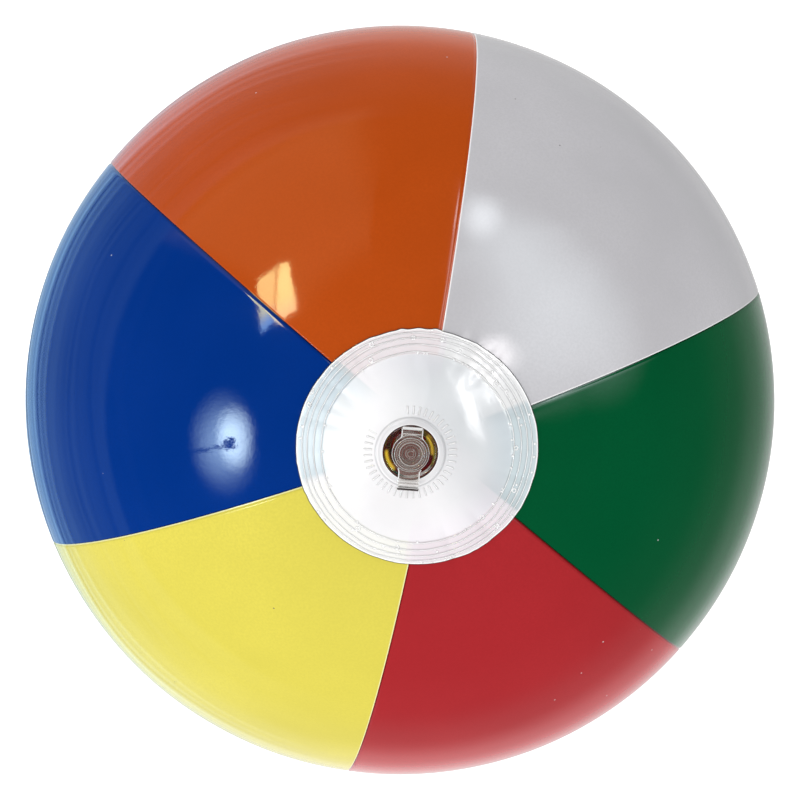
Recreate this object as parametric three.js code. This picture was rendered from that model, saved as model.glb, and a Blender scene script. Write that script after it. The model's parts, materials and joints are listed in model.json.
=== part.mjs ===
// Inflatable beach ball: six vinyl panels lap-welded edge to edge, a round end disc
// over each pole, and a soft push-in stopper valve in the middle of one disc.
// Millimetres, +Z up. The origin is the ball's centre and +Z is the valve's axis.
import * as THREE from 'three';

// ---- Driving dimensions, in millimetres and degrees ----
const ballRadius = 132; // outer face of the inflated panels
const film = 0.3; // thickness of the vinyl sheet
const gap = 0.3; // clearance between two welded layers
const layer = film + gap; // how far a lower layer lies under an upper one

const lapReach = 1.3; // how far each panel runs past its seam line
const seamAzimuth = 23.9; // the seam between the green and the white panel
const panelPole = { tilt: 2.4, azimuth: 43 }; // where the panels meet, from the valve axis

const discRadius = 28.6; // end discs, over the panels' cut ends
const discPole = { tilt: 0.9, azimuth: 49 }; // the valve disc's centre, from the valve axis
const panelEndRadius = 22.6; // open circle that the panels' ends leave at each pole

const valveHoleRadius = 6.35;
const collarRadius = 8.2; // raised collar around the valve hole
const collarHeight = 0.4;
const flangeRadius = 14;
const flangeThickness = 0.8;

const stemRadius = 4;
const stemRimRadius = 4.4;
const stemRimHeight = 0.8;
const stemBore = 3.1;
const stemLength = 11;
const stemTop = ballRadius + 1.8; // height of the stem's rim with the valve pushed in

const strapWidth = 5;
const strapThickness = 0.6;
const strapReach = 9.6; // from the valve axis to the outside of the fold
const foldOpening = 0.5; // clear height inside the fold

const plugRadius = 3.8;
const plugHeadThickness = 0.9;
const pegTopRadius = 2.8;
const pegTipRadius = 2.4;
const pegLength = 3.4;
const pegStraight = 0.7; // height of the peg's straight part, above its taper
const dishRadius = 1.9; // shallow dish in the plug's head
const dishDepth = 1;
const nubRadius = 0.74; // gate nub in the middle of the dish
const nubHeight = 0.6;

const tabReach = 6.4; // from the valve axis to the end of the pull tab
const tabLip = 0.6; // length and height of the upturned lip

const skirtThickness = 0.4;
const skirtHeight = 7.8;
const flapThickness = 0.4;
const flapRadius = 3.7;
const flapTail = { reach: 4.3, width: 3 }; // the flap's hinge tail

// ---- Fineness of the facets ----
const panelRows = 20;
const panelColumns = 6;
const discSegments = 36;
const discRings = 3;
const valveSegments = 24;

// ---- Colours and surfaces ----
const vinyl = { roughness: 0.15, metalness: 0 };
const colours = {
  orange: 0xc65a20,
  white: 0xdcdce2,
  green: 0x00522c,
  red: 0xb22c30,
  yellow: 0xe8de62,
  blue: 0x083487,
  disc: 0xf4f7f8,
  clear: 0xd5d0c8,
};

const radians = THREE.MathUtils.degToRad;

// ---- Shape helpers ----

function onSphere(radius, polar, azimuth) {
  const flat = radius * Math.sin(polar);
  return [flat * Math.cos(azimuth), flat * Math.sin(azimuth), radius * Math.cos(polar)];
}

// The angle, seen from the ball's centre, of a circle of the given radius on its surface.
function circleAngle(radius) {
  return Math.asin(radius / ballRadius);
}

// The polar angle at which a meridian crosses a circle drawn about a tilted centre.
// bearing is the meridian's azimuth less the azimuth towards which the centre is tilted.
function meridianCrossing(angle, tilt, bearing) {
  const sideways = Math.sin(tilt) * Math.cos(bearing);
  const nearest = Math.atan2(sideways, Math.cos(tilt));
  return nearest + Math.acos(Math.cos(angle) / Math.hypot(Math.cos(tilt), sideways));
}

// A closed sheet between two grids of points, outer[column][row] and inner[column][row].
// With wrap, the last column joins the first, as round a ring.
function sheet(outer, inner, wrap) {
  const columns = outer.length;
  const rows = outer[0].length;
  const positions = [...outer.flat(), ...inner.flat()].flat();
  const indices = [];
  const at = (side, column, row) => (side * columns + (column % columns)) * rows + row;
  const quad = (a, b, c, d) => indices.push(a, b, c, a, c, d);
  for (let i = 0; i < (wrap ? columns : columns - 1); i++) {
    for (let j = 0; j < rows - 1; j++) {
      quad(at(0, i, j), at(0, i, j + 1), at(0, i + 1, j + 1), at(0, i + 1, j));
      quad(at(1, i, j), at(1, i + 1, j), at(1, i + 1, j + 1), at(1, i, j + 1));
    }
    quad(at(0, i, 0), at(0, i + 1, 0), at(1, i + 1, 0), at(1, i, 0));
    quad(at(0, i + 1, rows - 1), at(0, i, rows - 1), at(1, i, rows - 1), at(1, i + 1, rows - 1));
  }
  for (let j = 0; !wrap && j < rows - 1; j++) {
    const end = columns - 1;
    quad(at(0, 0, j + 1), at(0, 0, j), at(1, 0, j), at(1, 0, j + 1));
    quad(at(0, end, j), at(0, end, j + 1), at(1, end, j + 1), at(1, end, j));
  }
  const geometry = new THREE.BufferGeometry();
  geometry.setAttribute('position', new THREE.Float32BufferAttribute(positions, 3));
  geometry.setIndex(indices);
  geometry.computeVertexNormals();
  return geometry;
}

// A solid of revolution about Z from [radius, height] points, listed with the solid
// on the left of the path.
function revolve(points, segments) {
  const profile = points.map(([radius, height]) => new THREE.Vector2(radius, height));
  return new THREE.LatheGeometry(profile, segments).rotateX(Math.PI / 2);
}

// Points of a circular arc about the ball's centre, as a [radius, height] profile.
function meridianArc(radius, fromPolar, toPolar, steps) {
  return Array.from({ length: steps + 1 }, (_, i) => {
    const polar = THREE.MathUtils.lerp(fromPolar, toPolar, i / steps);
    return [radius * Math.sin(polar), radius * Math.cos(polar)];
  });
}

// A bar whose side view lies in the Y-Z plane, extruded along X and centred on X = 0.
function barFromSide(shape, width) {
  const geometry = new THREE.ExtrudeGeometry(shape, { depth: width, bevelEnabled: false });
  geometry.translate(0, 0, -width / 2);
  const toSideView = new THREE.Matrix4().makeBasis(
    new THREE.Vector3(0, 1, 0),
    new THREE.Vector3(0, 0, 1),
    new THREE.Vector3(1, 0, 0),
  );
  return geometry.applyMatrix4(toSideView);
}

function part(name, geometry, colour) {
  const material = new THREE.MeshStandardMaterial({ ...vinyl, color: colour });
  const mesh = new THREE.Mesh(geometry, material);
  mesh.name = name;
  return mesh;
}

// A group whose Z axis leans from the valve axis towards an azimuth.
function leaning(pole) {
  const azimuth = radians(pole.azimuth);
  const hinge = new THREE.Vector3(-Math.sin(azimuth), Math.cos(azimuth), 0);
  const group = new THREE.Group();
  group.quaternion.setFromAxisAngle(hinge, radians(pole.tilt));
  return group;
}

// ---- Panels ----

// The columns of points along a panel's edge: how far each lies inside the seam line,
// and how far it drops below the ball's face. An edge that lies over its neighbour stays
// on the face; one that lies under steps down a whole layer first.
const edgeColumns = {
  over: [
    { inside: -lapReach, drop: 0 },
    { inside: lapReach + layer, drop: 0 },
  ],
  under: [
    { inside: -lapReach, drop: layer },
    { inside: lapReach + layer / 4, drop: layer },
    { inside: lapReach + (layer * 5) / 4, drop: 0 },
  ],
};

// The valve disc's centre as seen from the panels' pole. Both tilts are small, so they
// subtract as flat vectors.
function discFromPanels() {
  const flat = ({ tilt, azimuth }) =>
    new THREE.Vector2(tilt, 0).rotateAround(new THREE.Vector2(), radians(azimuth));
  const offset = flat(discPole).sub(flat(panelPole));
  return { tilt: radians(offset.length()), azimuth: offset.angle() };
}

function panelGeometry(index, startEdge, endEdge) {
  const start = radians(seamAzimuth + index * 60);
  const width = radians(60);
  const middle = Array.from({ length: panelColumns - 1 }, (_, i) => (i + 1) / panelColumns);
  const columns = [
    ...edgeColumns[startEdge].map((c) => ({ across: 0, shift: c.inside, drop: c.drop })),
    ...middle.map((across) => ({ across, shift: 0, drop: 0 })),
    ...edgeColumns[endEdge]
      .map((c) => ({ across: 1, shift: -c.inside, drop: c.drop }))
      .reverse(),
  ];
  const centre = discFromPanels();
  const endAngle = circleAngle(panelEndRadius);
  const face = (depth) =>
    columns.map(({ across, shift, drop }) => {
      const azimuth = start + across * width;
      const top = meridianCrossing(endAngle, centre.tilt, azimuth - centre.azimuth);
      return Array.from({ length: panelRows + 1 }, (_, row) => {
        const polar = THREE.MathUtils.lerp(top, Math.PI - endAngle, row / panelRows);
        const turn = shift / (ballRadius * Math.sin(polar));
        return onSphere(ballRadius - drop - depth, polar, azimuth + turn);
      });
    });
  return sheet(face(0), face(film), false);
}

// Counter-clockwise seen from the valve. The white panel lies over both its neighbours
// and the red one under both.
const panelLaps = [
  { colour: 'white', start: 'over', end: 'over' },
  { colour: 'orange', start: 'under', end: 'over' },
  { colour: 'blue', start: 'under', end: 'over' },
  { colour: 'yellow', start: 'under', end: 'over' },
  { colour: 'red', start: 'under', end: 'under' },
  { colour: 'green', start: 'over', end: 'under' },
];

// ---- End discs ----

// The disc around the valve: a cap on top of the panels' ends, with a hole on the valve's
// axis and a raised collar around the hole.
function valveDiscGeometry() {
  const centre = { tilt: radians(discPole.tilt), azimuth: radians(discPole.azimuth) };
  const collar = [
    { radius: valveHoleRadius, lift: collarHeight },
    { radius: collarRadius - collarHeight, lift: collarHeight },
    { radius: collarRadius, lift: 0 },
  ];
  const from = circleAngle(collarRadius);
  const spokes = Array.from({ length: discSegments }, (_, i) => {
    const azimuth = (i / discSegments) * 2 * Math.PI;
    const rim = meridianCrossing(circleAngle(discRadius), centre.tilt, azimuth - centre.azimuth);
    const plain = Array.from({ length: discRings }, (_, ring) => ({
      polar: THREE.MathUtils.lerp(from, rim, (ring + 1) / discRings),
      lift: 0,
    }));
    const raised = collar.map(({ radius, lift }) => ({ polar: circleAngle(radius), lift }));
    return { azimuth, rings: [...raised, ...plain] };
  });
  const face = (radius, liftShare) =>
    spokes.map(({ azimuth, rings }) =>
      rings.map(({ polar, lift }) => onSphere(radius + liftShare * lift, polar, azimuth)),
    );
  return sheet(face(ballRadius + layer, 1), face(ballRadius + gap, 0), true);
}

function plainDiscGeometry() {
  const rim = circleAngle(discRadius);
  const underside = meridianArc(ballRadius + gap, 0, rim, discRings + 1);
  const outside = meridianArc(ballRadius + layer, rim, 0, discRings + 1);
  return revolve([...underside, ...outside], discSegments);
}

// ---- Valve ----

// A flat ring under the valve disc that carries the valve.
function flangeGeometry() {
  const hole = circleAngle(valveHoleRadius);
  const rim = circleAngle(flangeRadius);
  const underside = meridianArc(ballRadius - flangeThickness, hole, rim, 2);
  const top = meridianArc(ballRadius, rim, hole, 2);
  return revolve([...underside, ...top, underside[0]], valveSegments);
}

// A thin funnel from the flange down to the stem's foot. It turns inside out as the
// valve is pulled up.
function skirtGeometry() {
  const top = ballRadius - flangeThickness;
  const foot = top - skirtHeight;
  const mouth = valveHoleRadius - gap;
  const neck = stemRadius + gap + skirtThickness;
  const corners = [
    [neck - skirtThickness, foot],
    [neck, foot],
    [mouth, top],
    [mouth - skirtThickness, top],
  ];
  return revolve([...corners, corners[0]], valveSegments);
}

function stemGeometry() {
  const foot = stemTop - stemLength;
  const underRim = stemTop - stemRimHeight;
  const corners = [
    [stemBore, foot],
    [stemRadius, foot],
    [stemRadius, underRim],
    [stemRimRadius, underRim],
    [stemRimRadius, stemTop],
    [stemBore, stemTop],
  ];
  return revolve([...corners, corners[0]], valveSegments);
}

// The flat strap leaves the stem's rim, folds back on itself and comes back to the plug.
const lowerRun = stemTop - strapThickness + 0.1; // underside of the strap's lower run
const foldRadius = strapThickness + foldOpening / 2;
const foldHeight = lowerRun + foldRadius; // height of the fold's axis, the plug's hinge
const upperRun = foldHeight + foldOpening / 2; // underside of the strap's upper run
const plugTop = upperRun + strapThickness;

function strapGeometry() {
  const foldY = -(strapReach - foldRadius);
  const atStem = -(stemRimRadius + gap);
  const atPlug = -(plugRadius + gap);
  const side = new THREE.Shape();
  side.moveTo(atStem, lowerRun);
  side.lineTo(atStem, lowerRun + strapThickness);
  side.absarc(foldY, foldHeight, foldOpening / 2, -Math.PI / 2, Math.PI / 2, true);
  side.lineTo(atPlug, upperRun);
  side.lineTo(atPlug, plugTop);
  side.absarc(foldY, foldHeight, foldRadius, Math.PI / 2, Math.PI * 1.5, false);
  return barFromSide(side, strapWidth);
}

// A round head with a shallow dish, over a hollow-looking tapered peg that shuts the bore.
function plugGeometry() {
  const headUnder = plugTop - plugHeadThickness;
  const tip = headUnder - pegLength;
  const dishFloor = plugTop - dishDepth;
  return revolve(
    [
      [0, tip],
      [pegTipRadius, tip],
      [pegTopRadius, headUnder - pegStraight],
      [pegTopRadius, headUnder],
      [plugRadius, headUnder],
      [plugRadius, plugTop],
      [dishRadius, plugTop],
      [dishRadius, dishFloor],
      [nubRadius, dishFloor],
      [nubRadius, dishFloor + nubHeight],
      [0, dishFloor + nubHeight],
    ],
    valveSegments,
  );
}

function tabGeometry() {
  const root = plugRadius + gap;
  const side = new THREE.Shape();
  side.moveTo(root, upperRun);
  side.lineTo(tabReach, upperRun);
  side.lineTo(tabReach, plugTop + tabLip);
  side.lineTo(tabReach - tabLip, plugTop + tabLip);
  side.lineTo(tabReach - tabLip, plugTop);
  side.lineTo(root, plugTop);
  return barFromSide(side, strapWidth);
}

// A thin round flap under the stem's foot, with a tail at its hinge side.
function flapGeometry() {
  const halfTail = flapTail.width / 2;
  const tailAngle = Math.asin(halfTail / flapRadius);
  const outline = new THREE.Shape();
  outline.moveTo(-halfTail, -flapTail.reach);
  outline.lineTo(halfTail, -flapTail.reach);
  outline.absarc(0, 0, flapRadius, -Math.PI / 2 + tailAngle, Math.PI * 1.5 - tailAngle, false);
  const top = stemTop - stemLength - gap;
  const plate = { depth: flapThickness, bevelEnabled: false, curveSegments: valveSegments };
  return new THREE.ExtrudeGeometry(outline, plate).translate(0, 0, top - flapThickness);
}

// ---- Assembly ----

const beachBall = new THREE.Group();

const panels = leaning(panelPole);
panelLaps.forEach(({ colour, start, end }, index) => {
  panels.add(part(`panel_${colour}`, panelGeometry(index, start, end), colours[colour]));
});
const plainDisc = part('plain_end_disc', plainDiscGeometry(), colours.disc);
plainDisc.rotation.x = Math.PI;
panels.add(plainDisc);

const valve = new THREE.Group();
valve.add(
  part('valve_flange', flangeGeometry(), colours.clear),
  part('valve_skirt', skirtGeometry(), colours.clear),
  part('valve_stem', stemGeometry(), colours.clear),
  part('hinge_strap', strapGeometry(), colours.clear),
  part('plug', plugGeometry(), colours.clear),
  part('pull_tab', tabGeometry(), colours.clear),
  part('check_flap', flapGeometry(), colours.clear),
);

beachBall.add(panels, part('valve_end_disc', valveDiscGeometry(), colours.disc), valve);

export default beachBall;
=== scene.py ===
"""Looks of the inflatable beach ball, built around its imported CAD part.

Shapes are worked out in millimetres in the CAD part's own frame (origin at the ball's
centre, +Z along the valve) and turned into metres as each mesh is made.
"""

import functools
import json
import math

import bpy
import numpy as np
from mathutils import Matrix, Quaternion, Vector

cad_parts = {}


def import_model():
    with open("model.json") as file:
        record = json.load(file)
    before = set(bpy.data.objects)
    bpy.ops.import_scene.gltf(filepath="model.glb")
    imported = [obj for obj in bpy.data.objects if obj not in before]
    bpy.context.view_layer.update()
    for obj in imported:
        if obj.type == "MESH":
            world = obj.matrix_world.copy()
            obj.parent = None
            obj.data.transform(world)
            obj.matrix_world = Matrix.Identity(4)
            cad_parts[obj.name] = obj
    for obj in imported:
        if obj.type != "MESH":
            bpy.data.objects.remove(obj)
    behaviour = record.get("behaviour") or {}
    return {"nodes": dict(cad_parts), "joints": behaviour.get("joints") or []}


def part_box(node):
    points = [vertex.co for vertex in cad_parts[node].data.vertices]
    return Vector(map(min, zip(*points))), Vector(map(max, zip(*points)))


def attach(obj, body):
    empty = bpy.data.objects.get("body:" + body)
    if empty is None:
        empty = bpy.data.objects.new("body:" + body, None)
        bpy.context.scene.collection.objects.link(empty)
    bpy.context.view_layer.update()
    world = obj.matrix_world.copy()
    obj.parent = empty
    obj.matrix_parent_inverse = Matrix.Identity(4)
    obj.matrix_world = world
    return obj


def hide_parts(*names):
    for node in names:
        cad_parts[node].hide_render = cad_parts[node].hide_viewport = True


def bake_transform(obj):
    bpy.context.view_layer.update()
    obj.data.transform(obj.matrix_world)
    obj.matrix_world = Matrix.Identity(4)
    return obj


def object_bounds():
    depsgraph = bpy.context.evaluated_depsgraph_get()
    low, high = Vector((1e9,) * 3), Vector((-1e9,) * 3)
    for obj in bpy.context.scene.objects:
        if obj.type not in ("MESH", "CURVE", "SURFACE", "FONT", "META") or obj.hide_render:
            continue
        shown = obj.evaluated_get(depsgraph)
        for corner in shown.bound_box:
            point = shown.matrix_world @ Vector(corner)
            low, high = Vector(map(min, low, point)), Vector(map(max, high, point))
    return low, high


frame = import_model()
CAD_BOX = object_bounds()
MM = 0.001


def box_mm(node):
    """Lowest and highest corner of a CAD node, in millimetres."""
    low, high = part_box(node)
    return low / MM, high / MM


def joint(name):
    return next(j for j in frame["joints"] if j["name"] == name)


# ---- Sizes, in millimetres and degrees ----

BALL_RADIUS = max(v.co.length for v in frame["nodes"]["panel_white"].data.vertices) / MM
FILM = 0.3  # thickness of the vinyl sheet
WELD_GAP = 0.02  # hair gap between two welded layers
LAP_REACH = 1.3  # how far each panel runs past its seam line
SEAM_AZIMUTH = 23.9  # the seam between the green and the white panel
PANEL_POLE = (2.4, 43.0)  # tilt and azimuth of the panels' pole, from the valve's axis
DISC_POLE = (0.86, 24.0)  # the same for the centre of the valve's end disc
DISC_RADIUS = 28.75
PANEL_END_RADIUS = 22.6  # open circle that the panels' ends leave at each pole
HOLE_RADIUS = 6.35
COLLAR_RADIUS = 8.2
COLLAR_HEIGHT = 0.4
LIP_RADIUS = 0.35  # rounding of the collar's edge at the hole
WELD_START = (22.0, 22.6)  # radii between which a disc's ring weld begins
WELD_RINGS = (22.95, 24.75, 26.3, 27.5)  # radii of the ring weld's lines
DISC_OVALITY, DISC_LONG_AXIS = 0.012, -3.0
TICK_COUNT, TICK_RADII, TICK_GAP = 44, (9.0, 11.1), (103.0, 155.0)  # the moulded bars
FOLD_INSET = 0.9  # from the hinge line to the middle of the strap's soft fold
STRIP_HALF_THICKNESS = 0.3  # of the strap and the pull tab
# Painted glow where the skirt's wall would catch light: azimuth, radius, half width, and strength.
SKIRT_PAINTED_GLOWS = ((207.0, 5.65, 0.62, 0.52), (20.0, 5.3, 0.5, 0.34))

PANEL_ROWS = 200
PANEL_COLUMNS = 32
DISC_SPOKES = 480
SPOKES = (np.arange(DISC_SPOKES) / DISC_SPOKES * 2 * math.pi)[:, None]  # their azimuths
# Rows of a disc's mesh from its ring weld to its rim, as shares of its radius.
RIM_ROWS = np.array([20, 15, 10, 6, 3, 1, 0]) / 1000  # the last rows' distances from the rim
RIM_SHARES = np.concatenate([np.arange(0.76, 0.975, 0.009), 1 - RIM_ROWS])

# ---- Colours, linear ----

# Each panel's film: its colour, the tone painted along its welded edge (a painted highlight where
# pale, painted shade where dark), and the painted tint standing for the panel seen through the
# milky film over its end and for the coloured light that it passes into the ball.
FILMS = {
    "white": ((0.530, 0.522, 0.545), (1.0, 1.0, 1.0), (1.0, 1.0, 1.0)),
    "orange": ((0.460, 0.068, 0.0065), (0.50, 0.075, 0.012), (1.0, 0.97, 1.0)),
    "blue": ((0.0005, 0.0285, 0.212), (0.0, 0.001, 0.01), (0.84, 0.955, 1.0)),
    "yellow": ((0.675, 0.590, 0.088), (0.97, 0.95, 0.55), (1.0, 1.0, 1.0)),
    "red": ((0.376, 0.0215, 0.0262), (0.14, 0.004, 0.006), (1.0, 0.95, 1.0)),
    "green": ((0.0007, 0.080, 0.0255), (0.0, 0.009, 0.003), (0.79, 0.89, 0.935)),
}
# Painted rim light: how much paler the film's colour is made where it is seen edge-on.
RIM_LIGHT_GAIN = {"white": 0.98, "orange": 1.35, "blue": 1.1, "yellow": 1.08, "red": 1.45, "green": 1.4}
SEAM_SHADE = {"blue": 0.84, "green": 0.84}  # painted shade: how much darker the painted tint is beside a seam
DARK_DUST, PALE_DUST = (0.12, 0.11, 0.10, 1), (0.6, 0.6, 0.62, 1)
# Painted shade beside the discs' raised lines and about the collar, and the painted dark shadow
# line along the discs' cut edges.
GROOVE_SHADE_GREY, CUT_EDGE_SHADOW = (0.22, 0.24, 0.26, 1), (0.03, 0.03, 0.03, 1)
# Counter-clockwise seen from the valve: how each panel's first and last edge is lapped.
PANELS = (
    ("white", "over", "over"),
    ("orange", "under", "over"),
    ("blue", "under", "over"),
    ("yellow", "under", "over"),
    ("red", "under", "under"),
    ("green", "over", "under"),
)


# ---- Geometry helpers ----

def on_sphere(radius, polar, azimuth):
    flat = radius * np.sin(polar)
    points = (flat * np.cos(azimuth), flat * np.sin(azimuth), radius * np.cos(polar))
    return np.stack(np.broadcast_arrays(*points), axis=-1)


def circle_angle(radius):
    """The angle, from the ball's centre, of a circle of that radius on its surface."""
    return np.arcsin(radius / BALL_RADIUS)


def meridian_crossing(angle, tilt, bearing):
    """Polar angle at which a meridian crosses a circle drawn about a tilted centre."""
    sideways = np.sin(tilt) * np.cos(bearing)
    nearest = np.arctan2(sideways, np.cos(tilt))
    return nearest + np.arccos(np.cos(angle) / np.hypot(np.cos(tilt), sideways))


def leaning(pole):
    """Rotation that leans the Z axis towards an azimuth, as a 3 by 3 array."""
    tilt, azimuth = (math.radians(a) for a in pole)
    hinge = Vector((-math.sin(azimuth), math.cos(azimuth), 0))
    return np.array(Matrix.Rotation(tilt, 3, hinge))


def smooth(value, low, high):
    """0 below low, 1 above high, and a smooth step between them."""
    t = np.clip((value - low) / (high - low), 0, 1)
    return t * t * (3 - 2 * t)


def bump(distance, width):
    return np.exp(-((distance / width) ** 2))


def turn_from(azimuth, start):
    """The turn from start to azimuth, in radians from -pi to pi."""
    return (azimuth - start + math.pi) % (2 * math.pi) - math.pi


def new_object(name, data, unseen_by=()):
    """An object in the scene, which the named kinds of rays pass through."""
    obj = bpy.data.objects.new(name, data)
    for kind in unseen_by:
        setattr(obj, f"visible_{kind}", False)
    bpy.context.scene.collection.objects.link(obj)
    return obj


def smooth_faces(mesh, sharp_above=40):
    mesh.polygons.foreach_set("use_smooth", [True] * len(mesh.polygons))
    mesh.set_sharp_from_angle(angle=math.radians(sharp_above))


def make_mesh(name, points_mm, faces, sharp_above=40):
    """A mesh object from points in millimetres, smooth but for its sharp edges."""
    mesh = bpy.data.meshes.new(name)
    mesh.from_pydata((np.asarray(points_mm, float) * MM).tolist(), [], faces)
    mesh.validate()
    smooth_faces(mesh, sharp_above)
    return new_object(name, mesh)


def mark(piece, attribute, values):
    """Stores one number per vertex, for the piece's material to read."""
    layer = piece.data.attributes.get(attribute)
    layer = layer or piece.data.attributes.new(attribute, "FLOAT", "POINT")
    layer.data.foreach_set("value", np.asarray(values, np.float32).ravel())


def dress(piece, material, body, node):
    """Gives a piece its material, puts it under its body if any, and hides the CAD node."""
    piece.data.materials.append(material)
    if body:
        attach(piece, body)
    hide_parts(node)


def sheet(name, outer, inner, wrap):
    """A closed sheet between two grids of points, indexed [column, row]."""
    columns, rows = outer.shape[:2]
    points = np.concatenate([outer.reshape(-1, 3), inner.reshape(-1, 3)])
    index = np.arange(2 * columns * rows).reshape(2, columns, rows)
    if wrap:
        index = np.concatenate([index, index[:, :1]], axis=1)

    def quads(*corners):
        return np.stack([corner.ravel() for corner in corners], axis=-1)

    top, under = index
    faces = [
        quads(top[:-1, :-1], top[:-1, 1:], top[1:, 1:], top[1:, :-1]),
        quads(under[:-1, :-1], under[1:, :-1], under[1:, 1:], under[:-1, 1:]),
        quads(top[:-1, 0], top[1:, 0], under[1:, 0], under[:-1, 0]),
        quads(top[1:, -1], top[:-1, -1], under[:-1, -1], under[1:, -1]),
    ]
    if not wrap:
        faces += [
            quads(top[0, 1:], top[0, :-1], under[0, :-1], under[0, 1:]),
            quads(top[-1, :-1], top[-1, 1:], under[-1, 1:], under[-1, :-1]),
        ]
    return make_mesh(name, points, np.concatenate(faces).tolist())


def fillet(corners, radius, steps=4):
    """Rounds the corners of a closed outline. A corner is (radius, height, painted-light tone)."""
    corners = [(np.array(corner[:2], float), (*corner, 0)[2]) for corner in corners]
    rounded = []
    for i, (corner, tone) in enumerate(corners):
        before, after = corners[i - 1][0], corners[(i + 1) % len(corners)][0]
        if corner[0] < 1e-9:
            rounded.append((*corner, 0))
            continue
        back, ahead = before - corner, after - corner
        cut = min(radius, 0.45 * np.linalg.norm(back), 0.45 * np.linalg.norm(ahead))
        start = corner + back / np.linalg.norm(back) * cut
        end = corner + ahead / np.linalg.norm(ahead) * cut
        for t in np.linspace(0, 1, steps + 1):
            point = (1 - t) ** 2 * start + 2 * t * (1 - t) * corner + t * t * end
            rounded.append((*point, tone * min(1, 4 * t, 4 - 4 * t)))
    return rounded


def lathe(name, outline, segments=96):
    """A solid of revolution about Z. Its closed outline has the solid on its left."""
    turns = np.arange(segments) / segments * 2 * math.pi
    points, rings, tones = [], [], []
    for radius, height, *tone in outline:
        tone = tone[0] if tone else 0.0
        if radius < 1e-9:
            rings.append([len(points)] * segments)
            points.append((0, 0, height))
            tones.append(tone)
            continue
        rings.append(list(range(len(points), len(points) + segments)))
        points += [(radius * math.cos(t), radius * math.sin(t), height) for t in turns]
        tones += [tone] * segments
    faces = []
    for i, ring in enumerate(rings):
        above = rings[(i + 1) % len(rings)]
        for k in range(segments):
            after = (k + 1) % segments
            corners = [ring[k], ring[after], above[after], above[k]]
            face = [c for j, c in enumerate(corners) if c != corners[j - 1]]
            if len(face) > 2:
                faces.append(face)
    piece = make_mesh(name, points, faces)
    # The outline's tones mark painted highlights and painted shade for the material.
    mark(piece, "edge", tones)
    return piece


# A flat bar's section, right side from its top to its middle: inset from its side in
# millimetres, share of the half thickness, and the tone of the painted highlight along its edge.
BAR_SIDE = ((0.34, 1, 0), (0.20, 1, 0.7), (0.10, 0.96, 1), (0.03, 0.75, 1), (0, 0.3, 1))


def sweep(name, path, half_widths, half_thickness):
    """A flat bar along a path of [y, z, edge tone] points; the tones paint highlight and shade."""
    path = np.array(path, float)
    along = np.gradient(path[:, :2], axis=0)
    along /= np.linalg.norm(along, axis=1)[:, None]
    normal = np.stack([-along[:, 1], along[:, 0]], axis=1)
    whole_side = [*BAR_SIDE, *((inset, -rise, tone) for inset, rise, tone in BAR_SIDE[::-1])]
    inset, rise, tone = np.array(whole_side).T
    side = np.concatenate([np.ones(len(inset)), -np.ones(len(inset))])
    inset, rise, tone = (np.concatenate([a, a[::-1]]) for a in (inset, rise, tone))
    x = side * (np.asarray(half_widths)[:, None] - inset)
    y = path[:, :1] + half_thickness * rise * normal[:, :1]
    z = path[:, 1:2] + half_thickness * rise * normal[:, 1:]
    points = np.stack([x, y, z], axis=-1)
    index = np.arange(x.size).reshape(x.shape)
    ahead = np.roll(index, -1, axis=1)
    faces = np.stack([index[:-1], index[1:], ahead[1:], ahead[:-1]], axis=-1)
    ends = [index[0].tolist(), index[-1][::-1].tolist()]
    piece = make_mesh(name, points.reshape(-1, 3), faces.reshape(-1, 4).tolist() + ends, 60)
    line = path[:, 2:]
    mark(piece, "edge", np.where(np.abs(line) > 0.01, line, np.broadcast_to(tone, x.shape)))
    return piece


# ---- Unevenness of the film, in millimetres along the radius ----

random = np.random.default_rng(7)
WAVES = [
    (random.normal(size=3), random.uniform(0, 2 * math.pi), random.uniform(28, 60))
    for _ in range(7)
]
WAVE_HEIGHT = 0.03
PUCKER_RANGES = ((0, 2 * math.pi), (0.7, 1.6), (2.5, 7.0), (0.05, 0.16))
PUCKERS = [[random.uniform(*span) for span in PUCKER_RANGES] for _ in range(22)]


def waves(points):
    height = np.zeros(points.shape[:-1])
    for direction, phase, length in WAVES:
        along = points @ (direction / np.linalg.norm(direction))
        height += np.sin(along * 2 * math.pi / length + phase)
    return WAVE_HEIGHT * height / math.sqrt(len(WAVES))


def puckers(points, centre):
    """Small gathers that run out from the rim of the end disc about centre."""
    local = points @ centre  # the columns of centre are its axes
    radius = np.hypot(local[..., 0], local[..., 1])
    azimuth = np.arctan2(local[..., 1], local[..., 0])
    outside = np.maximum(radius - DISC_RADIUS, 0)
    near = local[..., 2] > 0
    height = np.zeros(points.shape[:-1])
    for start, width, reach, depth in PUCKERS:
        across = turn_from(azimuth, start) * radius
        fade = np.exp(-outside / reach) * smooth(radius, 16, 24)
        height -= depth * bump(across, width) * fade
    return np.where(near, height, 0)


def far_pole():
    """The panels' other pole, as the axes of a disc that is centred on it."""
    return leaning(PANEL_POLE) @ np.diag([1.0, -1.0, -1.0])


def lay_on_film(points):
    """Moves points along their radius by the film's unevenness."""
    relief = waves(points) + puckers(points, leaning(DISC_POLE)) + puckers(points, far_pole())
    radius = np.linalg.norm(points, axis=-1, keepdims=True)
    return points * (1 + relief[..., None] / radius)


# ---- Panels ----

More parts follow.
